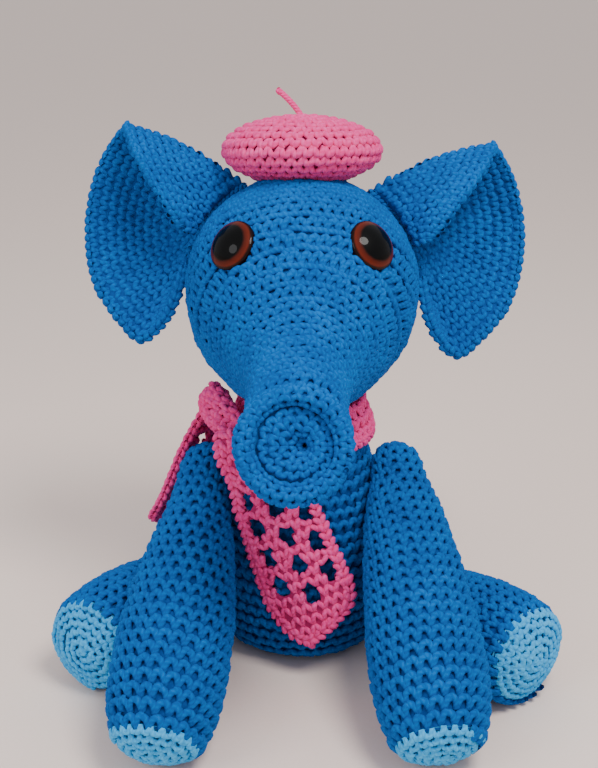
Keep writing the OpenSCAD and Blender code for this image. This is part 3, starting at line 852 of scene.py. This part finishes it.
def ear(side, seed):
    name = SIDE_NAME[side]
    m = ear_place(side)
    yarn = ear_yarn(m, seed)
    rr, tt = np.meshgrid(np.linspace(0, 0.985, 20), np.linspace(*EAR_SPAN, 90), indexing="ij")
    grid = ear_point(rr, tt)
    verts, quads = sheet_mesh(grid, ear_normal(rr, tt), 0.6)
    # The slab between the ear's faces is coloured darker than the yarn: painted shade, seen through
    # the gaps between the stitches.
    core = new_object(f"ear_{name}_fabric", placed(verts, m), quads, [BLUE_PAINTED_SHADE])
    loops = new_object(f"ear_{name}_crochet", yarn[0], yarn[1], [BLUE], yarn[2])
    for piece in (core, loops):
        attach(piece, f"ear_{name}")
    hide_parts(f"ear_{name}")


ear(LEFT, 71)
ear(RIGHT, 73)


# ---- beret ----

def beret():
    a = np.linspace(math.pi - math.asin(BERET_HOLE / BERET_R), 0.02, 90)
    line = np.stack([BERET_R * np.sin(a), BERET_HALF * np.cos(a)], -1)
    st = rounds(inset(line, SUNK), 4.1, 4.3, lean=0.1, flip=-1)
    st = uneven(st.moved(CROWN), 0.6)
    verts, quads = lathe(inset(line, DEPTH))
    obj = crocheted("beret_crochet", vees(st, 1.0, 81, VEE, 1.25), (placed(verts, CROWN), quads),
                    PINK, PINK_PAINTED_SHADE)
    finish_piece(obj, "head", ["beret_skin", "beret_stuffing"])


def beret_stalk():
    """Twisted stalk that leans back, with a fuller end."""
    bend = np.linspace(0, 1, 30)
    path = np.stack([-STALK_L * (0.62 * bend + 0.16 * bend ** 2), 0 * bend,
                     BERET_HALF - 0.5 + STALK_L * (0.98 * bend - 0.12 * bend ** 2)], -1)
    out = np.tile([0.0, 1.0, 0.0], (30, 1))
    stalk = rope(path, out, 0.62, 4.2, plies=3)
    end = rope(path[-3:] + [[0, 0, 0], [-0.3, 0, 0.2], [-0.6, 0, 0.3]], out[:3], 0.75, 3.0, plies=3)
    v, q, t = gather([stalk, end])
    obj = new_object("beret_stalk_twist", placed(v, CROWN), q, [PINK], t)
    finish_piece(obj, "head", ["beret_stalk"])


beret()
beret_stalk()


# ---- eyes ----

EYE_RIM = 10.15  # radius of the washer's edge, just past the iris


def eye_material():
    m, b = shader("eye_plastic", 0.45, coat=0.38)
    nodes, links = m.node_tree.nodes, m.node_tree.links
    b.inputs["Specular IOR Level"].default_value = 0.03
    uv = nodes.new("ShaderNodeUVMap")
    uv.uv_map = "strand"
    parts = nodes.new("ShaderNodeSeparateXYZ")
    links.new(uv.outputs["UV"], parts.inputs["Vector"])
    streak = node(nodes, "ShaderNodeTexNoise", Scale=9.0, Detail=4.0)
    links.new(uv.outputs["UV"], streak.inputs["Vector"])
    add = nodes.new("ShaderNodeMath")
    add.operation = "MULTIPLY_ADD"
    add.inputs[1].default_value = 0.05
    links.new(streak.outputs["Fac"], add.inputs[0])
    links.new(parts.outputs["X"], add.inputs[2])
    edge = PUPIL_R / EYE_R + 0.02
    tones = ramp(nodes, [(edge - 0.02, srgb("#020202")), (edge + 0.01, srgb("#1f0a06")),
                         (edge + 0.07, srgb("#4a160c")), (0.93, srgb("#5e1e10")),
                         (0.99, srgb("#170704"))])
    links.new(add.outputs["Value"], tones.inputs["Fac"])
    links.new(tones.outputs["Color"], b.inputs["Base Color"])
    return m


def eye(side, material):
    name = SIDE_NAME[side]
    big = (EYE_R ** 2 + EYE_DOME ** 2) / (2 * EYE_DOME)
    r = np.concatenate([[EYE_RIM, EYE_RIM + 0.1, EYE_RIM - 0.05], np.linspace(9.85, 0.0, 34)])
    z = np.concatenate([[-2.0, -0.9, -0.35], -0.15 + EYE_DOME - big + np.sqrt(big ** 2 - r[3:] ** 2)])
    verts, quads = lathe(np.stack([r, z], -1), 64)
    a = np.arctan2(verts[:, 1], verts[:, 0])
    at = np.stack([np.hypot(verts[:, 0], verts[:, 1]) / EYE_RIM, np.abs(a) / np.pi], -1)
    obj = new_object(f"eye_{name}", placed(verts, eye_place(side)), quads, [material],
                     at[quads.ravel()])
    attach(obj, "head")
    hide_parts(f"eye_{name}_iris", f"eye_{name}_pupil", f"eye_{name}_washer")


EYES = eye_material()
eye(LEFT, EYES)
eye(RIGHT, EYES)


# ---- scarf ----

def braid(path, out, width, link, thick):
    """A flat crocheted strand: V stitches along a path, on both faces."""
    path = resampled(np.hstack([path, out]), link)
    out, path = unit(path[:, 3:]), path[:, :3]
    mid, n = (path[1:] + path[:-1]) / 2, unit(out[1:] + out[:-1])
    v = path[1:] - path[:-1]
    u = unit(np.cross(v, n)) * width
    return joined([Stitches(mid + n * thick, u, v * 1.05, n),
                   Stitches(mid - n * thick, u, v * 1.05, -n)])


HOLE_HALF = (3.5, 4.9)  # half width and half height
LACE_HALF = 0.6  # half of the net's thickness
STRAND = (4.2, 3.6)  # width of an edge strand, and the length of its links


def lace_holes(cols, first, last):
    """Middles of the lace's upright holes, as in the CAD."""
    rows = range(int((last - first) // ROW_STEP) + 1)
    spots = [(c, first + k * ROW_STEP + (ROW_STEP / 2 if c % 2 else 0)) for c in cols for k in rows]
    return [(c * COL_STEP, -y) for c, y in spots if y <= last]


def opened(x, y, holes, half=HOLE_HALF):
    """Moves points away from the holes, as yarn that is worked round them."""
    dx, dy = np.zeros_like(x), np.zeros_like(y)
    for cx, cy in holes:
        away = np.hypot((x - cx) / half[0], (y - cy) / half[1])
        push = (away ** 3 + 1) ** (1 / 3) / np.maximum(away, 1e-3) - 1
        dx, dy = dx + push * (x - cx), dy + push * (y - cy)
    return x + dx, y + dy


def clear_of(x, y, holes, least, half=HOLE_HALF):
    """Whether points lie outside every hole, whose own size is 1."""
    away = [np.hypot((x - cx) / half[0], (y - cy) / half[1]) for cx, cy in holes]
    return np.min(away, axis=0) > least


def inside(x, y, outline, margin):
    """Whether points lie within an outline of [distance down, left edge, right edge] rows."""
    low = np.interp(-y, outline[:, 0], outline[:, 1])
    high = np.interp(-y, outline[:, 0], outline[:, 2])
    ends = (-y > outline[0, 0] + margin) & (-y < outline[-1, 0] - margin)
    return (x > low + margin) & (x < high - margin) & ends


def on_drape(drape, x, y):
    """Point and outward normal of the hanging cloth."""
    e = 0.5
    across, down = drape(x + e, y) - drape(x - e, y), drape(x, y + e) - drape(x, y - e)
    return drape(x, y), unit(np.cross(across, down))


def lace_stitches(outline, holes, drape, width=4.5, pitch=5.0):
    """Stitches in staggered rows, moved aside at the holes and left out within them."""
    x, y = np.meshgrid(np.arange(-24, 24, width), -np.arange(1 - 2 * pitch, 100, pitch))
    x = x + (np.arange(len(x)) % 2)[:, None] * width / 2
    x, y = x.ravel(), y.ravel()
    keep = clear_of(x, y, holes, 0.4) & inside(*opened(x, y, holes), outline, 1.6)
    x, y = x[keep], y[keep]
    e = 0.6

    def at(px, py):
        return on_drape(drape, *opened(px, py, holes))

    p, n = at(x, y)
    u = (at(x + e, y)[0] - at(x - e, y)[0]) / (2 * e) * width
    v = (at(x, y + e)[0] - at(x, y - e)[0]) / (2 * e) * pitch
    u = unit(u) * np.clip(np.linalg.norm(u, axis=1, keepdims=True), 2.6, 4.6)
    v = unit(v) * np.clip(np.linalg.norm(v, axis=1, keepdims=True), 2.8, 5.2)
    return Stitches(p, u, v, n)


def edge_path(outline, drape, inward):
    """Closed path just within the outline, with the cloth's normal."""
    left = np.stack([outline[:, 1] + inward, -outline[:, 0]], -1)
    right = np.stack([outline[:, 2] - inward, -outline[:, 0]], -1)
    ring = np.concatenate([left, right[::-1], left[:1]])
    ring[:, 1] = np.clip(ring[:, 1], -outline[-1, 0] + inward, -outline[0, 0] - inward)
    ring = resampled(ring, 1.5)
    return on_drape(drape, ring[:, 0], ring[:, 1])


def pierced_sheet(outline, holes, drape, half, cell=1.3):
    """Closed thin slab of the cloth with its holes left open, and its area."""
    x, y = np.meshgrid(np.arange(-24, 24, cell), -np.arange(-10 * cell, 100, cell))
    mx, my = opened(x, y, holes)
    keep = clear_of(x, y, holes, 0.55) & inside(mx, my, outline, 1.2)
    cells = keep[1:, 1:] & keep[:-1, 1:] & keep[1:, :-1] & keep[:-1, :-1]
    p, n = on_drape(drape, mx, my)
    cols, q = x.shape[1], x.size
    i, j = np.where(cells)
    a = i * cols + j
    top = np.stack([a, a + cols, a + cols + 1, a + 1], -1)
    edges = np.concatenate([top[:, [k, (k + 1) % 4]] for k in range(4)])
    seen = {(int(b), int(c)) for b, c in edges}
    rim = np.array([(b, c) for b, c in seen if (c, b) not in seen])
    rim = rim[np.lexsort((rim[:, 1], rim[:, 0]))]
    wall = np.stack([rim[:, 1], rim[:, 0], rim[:, 0] + q, rim[:, 1] + q], -1)
    faces = np.concatenate([top, top[:, ::-1] + q, wall])
    verts = np.concatenate([(p + half * n).reshape(-1, 3), (p - half * n).reshape(-1, 3)])
    used, renamed = np.unique(faces, return_inverse=True)
    flat = p.reshape(-1, 3)
    area = np.sum(np.linalg.norm(np.cross(flat[top[:, 1]] - flat[top[:, 0]],
                                          flat[top[:, 3]] - flat[top[:, 0]]), axis=1))
    return verts[used], renamed.reshape(-1, 4), float(area)


def tail(name, place, outline, holes, width, length, drape, seed):
    """Lace tail: outline rows are [distance down, left edge, right edge]."""
    st = lace_stitches(outline, holes, drape)
    far = Stitches(st.p, st.u, st.v, -st.n)
    path, out = edge_path(outline, drape, 1.5)
    both = joined([st.lifted(LACE_HALF), far.lifted(LACE_HALF)])
    edge = braid(path, out, *STRAND, 0.7)
    lace = gather([vees(both.moved(place), 0.9, seed, VEE),
                   vees(edge.moved(place), 0.95, seed + 1, VEE)])
    v, q, area = pierced_sheet(outline, holes, drape, LACE_HALF)
    # The pierced slab is coloured darker than the yarn: painted shade, seen through the gaps between
    # the stitches.
    core = new_object(f"{name}_net", placed(v, place), q, [PINK_PAINTED_SHADE])
    loops = new_object(f"{name}_lace", lace[0], lace[1], [PINK], lace[2])
    for piece in (core, loops):
        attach(piece, "torso")
    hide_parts(name)


FRONT_FLAT = (37.5, 100)  # each tail's flat width and length
BACK_FLAT = (20, 58)


def front_drape(x, y):
    """Height of the front tail over its own plane: it curves and ripples lower down, and its strap
    bends back to the knot."""
    low = np.clip((-y - 2) / 26, 0, 1)
    z = 1.5 - 0.011 * low * (x - 1) ** 2 + low * np.sin(y / 12.0 + 0.6) * x / 16
    z = z - 0.06 * np.clip(y - 3, 0, None) ** 2
    return np.stack([x, y, z], -1)


def back_drape(x, y):
    """Height of the back tail over its own plane: slightly cupped, with a ripple."""
    z = 1.5 + 0.03 * x ** 2 + 0.8 * np.sin(y / 9.0)
    return np.stack([x, y, z], -1)


def scarf_tails():
    half = TAIL_W / 2
    front = np.array([(-12, -11.6, -5.4), (-9, -12.2, -4.6), (-1, -14, -2), (0.5, -14.1, 12),
                      (9, -13.6, 14), (14, -13.5, half - 1), (24, -16, half - 0.7),
                      (34, -17, half - 0.3), (45, -18.6, half), (60, -20, half + 0.6),
                      (68, -20, half + 1), (74, -19, half), (78.5, -17.6, 12), (84, -14, -0.5),
                      (88, -9.8, -8)], float)
    place = shift(*TAIL_FROM) @ spin("y", TAIL_TURN) @ spin("x", TAIL_HANG)
    holes = lace_holes((-1, 0, 1), 13, TAIL_L - 16)
    tail("scarf_tail_front", place, front, holes, *FRONT_FLAT, front_drape, 91)
    back = np.array([(-2, -8, 8), (12, -10, 10), (44, -10.5, 9.6), (48, -9, 9), (56, -6, 3),
                     (57, -5, 2)], float)
    place = shift(*BACK_TAIL_FROM) @ spin("y", BACK_TAIL_TURN) @ spin("z", 55) @ spin("x", 90)
    holes = [(x - COL_STEP / 2, y) for x, y in lace_holes((0, 1), 8, 44)]
    tail("scarf_tail_back", place, back, holes, *BACK_FLAT, back_drape, 93)


def scarf_band():
    """Rounds of lace about the neck, with a strand along each edge."""
    band = np.array([(30.2, 96.6), (31, 98.5), (29.6, 104), (27.2, 109.5), (26.0, 110.8)])
    sets = [rounds(inset(dense(band, 60), 0.6), 4.9, 4.6, lean=0.3)]
    ring = np.radians(np.arange(0, 361, 3))
    out = np.stack([np.cos(ring), np.sin(ring), 0 * ring], -1)
    for r, z in ((29.6, 97.6), (25.6, 110.4)):
        path = np.stack([r * np.cos(ring), r * np.sin(ring), np.full(len(ring), z)], -1)
        sets.append(braid(path, out, *STRAND, 0.8))
    section = np.array([(27, 97.3), (29.6, 97.0), (30.0, 98.5), (28.6, 104), (26.2, 109.8),
                        (24.6, 110.2), (23.4, 110.0), (25.0, 104), (27, 97.3)])
    obj = crocheted("scarf_band_lace", vees(joined(sets), 0.98, 95), lathe(section), PINK, PINK_PAINTED_SHADE)
    finish_piece(obj, "torso", ["scarf_band"])


KNOT_LINE = [(-36.3, -11.5, 121.5), (-35, -14, 115.5), (-34, -17, 108), (-32.8, -18.5, 99.5)]
KNOT_ROUND = 60  # points round each row's path
KNOT_SIDES = 40
KNOT_RINGS = 20


def knot_point(t, a):
    """Flat wad of folded lace, from its top (t 0) to its bottom (t 1), round by a."""
    t = np.clip(t, 0, 1)
    middle = curve(KNOT_LINE, t)
    wide = curve([(0.3,), (6.5,), (13.0,), (13.2,), (0.3,)], t)[..., 0]
    thick = curve([(0.3,), (4.4,), (5.4,), (5.2,), (0.3,)], t)[..., 0]
    side, out = np.array([0.55, -0.83, -0.02]), np.array([-0.83, -0.55, 0.12])
    fold = 1 + 0.16 * np.sin(3 * a + 5 * t)
    return (middle + (wide * np.cos(a) * fold)[..., None] * side
            + (thick * np.sin(a) * fold)[..., None] * out)


def knot_row(t):
    """One row of stitches round the knot."""
    a = np.linspace(0, 2 * np.pi, KNOT_ROUND)
    path = knot_point(np.full(KNOT_ROUND, t), a)
    up = knot_point(np.full(KNOT_ROUND, t + 0.02), a) - knot_point(np.full(KNOT_ROUND, t - 0.02), a)
    out = unit(np.cross(np.gradient(path, axis=0), up))
    out = out * np.sign(np.sum(out * (path - path.mean(0)), -1))[:, None]
    row = resampled(np.hstack([path, out]), 3.9)
    mid, n = (row[1:, :3] + row[:-1, :3]) / 2, unit(row[1:, 3:] + row[:-1, 3:])
    v = row[1:, :3] - row[:-1, :3]
    return Stitches(mid - 0.4 * n, unit(np.cross(v, n)) * 4.0, v, n)


def knot():
    st = joined([knot_row(t) for t in np.linspace(0.02, 0.98, 8)])
    grid_t, grid_a = np.meshgrid(np.linspace(0, 1, KNOT_RINGS),
                                 2 * np.pi * np.arange(KNOT_SIDES) / KNOT_SIDES, indexing="ij")
    verts = knot_point(grid_t, grid_a)
    centre = verts.mean(axis=1, keepdims=True)
    verts = (centre + (verts - centre) * 0.84).reshape(-1, 3)
    obj = crocheted("scarf_knot_lace", vees(st, 0.98, 97, VEE, 1.15, 1.5),
                    (verts, ring_quads(KNOT_RINGS, KNOT_SIDES)), PINK, PINK_PAINTED_SHADE)
    finish_piece(obj, "torso", ["scarf_knot"])


scarf_tails()
scarf_band()
knot()


# ---- camera, floor and light ----

def look_from(location, pitch_down):
    cam = bpy.data.cameras.new("camera")
    cam.sensor_fit = "VERTICAL"
    cam.sensor_height = 24.0
    cam.lens = 37.5
    obj = bpy.data.objects.new("camera", cam)
    bpy.context.scene.collection.objects.link(obj)
    obj.location = location
    obj.rotation_euler = (math.radians(90 - pitch_down), 0, 0)
    bpy.context.scene.camera = obj


def soft_light(name, location, target, size, power, tint):
    lamp = bpy.data.lights.new(name, "AREA")
    lamp.shape = "DISK"
    lamp.size = size
    lamp.energy = power
    lamp.color = tint
    obj = bpy.data.objects.new(name, lamp)
    bpy.context.scene.collection.objects.link(obj)
    obj.location = location
    aim = np.array(target) - np.array(location)
    obj.rotation_euler = Vector(aim).to_track_quat("-Z", "Y").to_euler()


look_from((-0.0012, -0.4816, 0.2919), 20)
bpy.ops.mesh.primitive_circle_add(vertices=64, radius=20, fill_type="NGON", location=(0, 0, 0))
floor = bpy.context.object
floor.name = "floor"
floor.data.materials.append(backing_material("floor_paint", "#fbe5d8", "#fde8dc"))
soft_light("key", (0.24, -0.36, 0.78), (0, -0.03, 0.15), 0.32, 5.2, (1.0, 0.98, 0.95))
soft_light("fill", (-0.9, -0.8, 0.8), (0, 0, 0.12), 0.6, 5, (0.96, 0.97, 1.0))
world = bpy.data.worlds.new("studio")
world.use_nodes = True
world.node_tree.nodes["Background"].inputs["Color"].default_value = (0.93, 0.95, 1.0, 1.0)
world.node_tree.nodes["Background"].inputs["Strength"].default_value = 0.75
bpy.context.scene.world = world
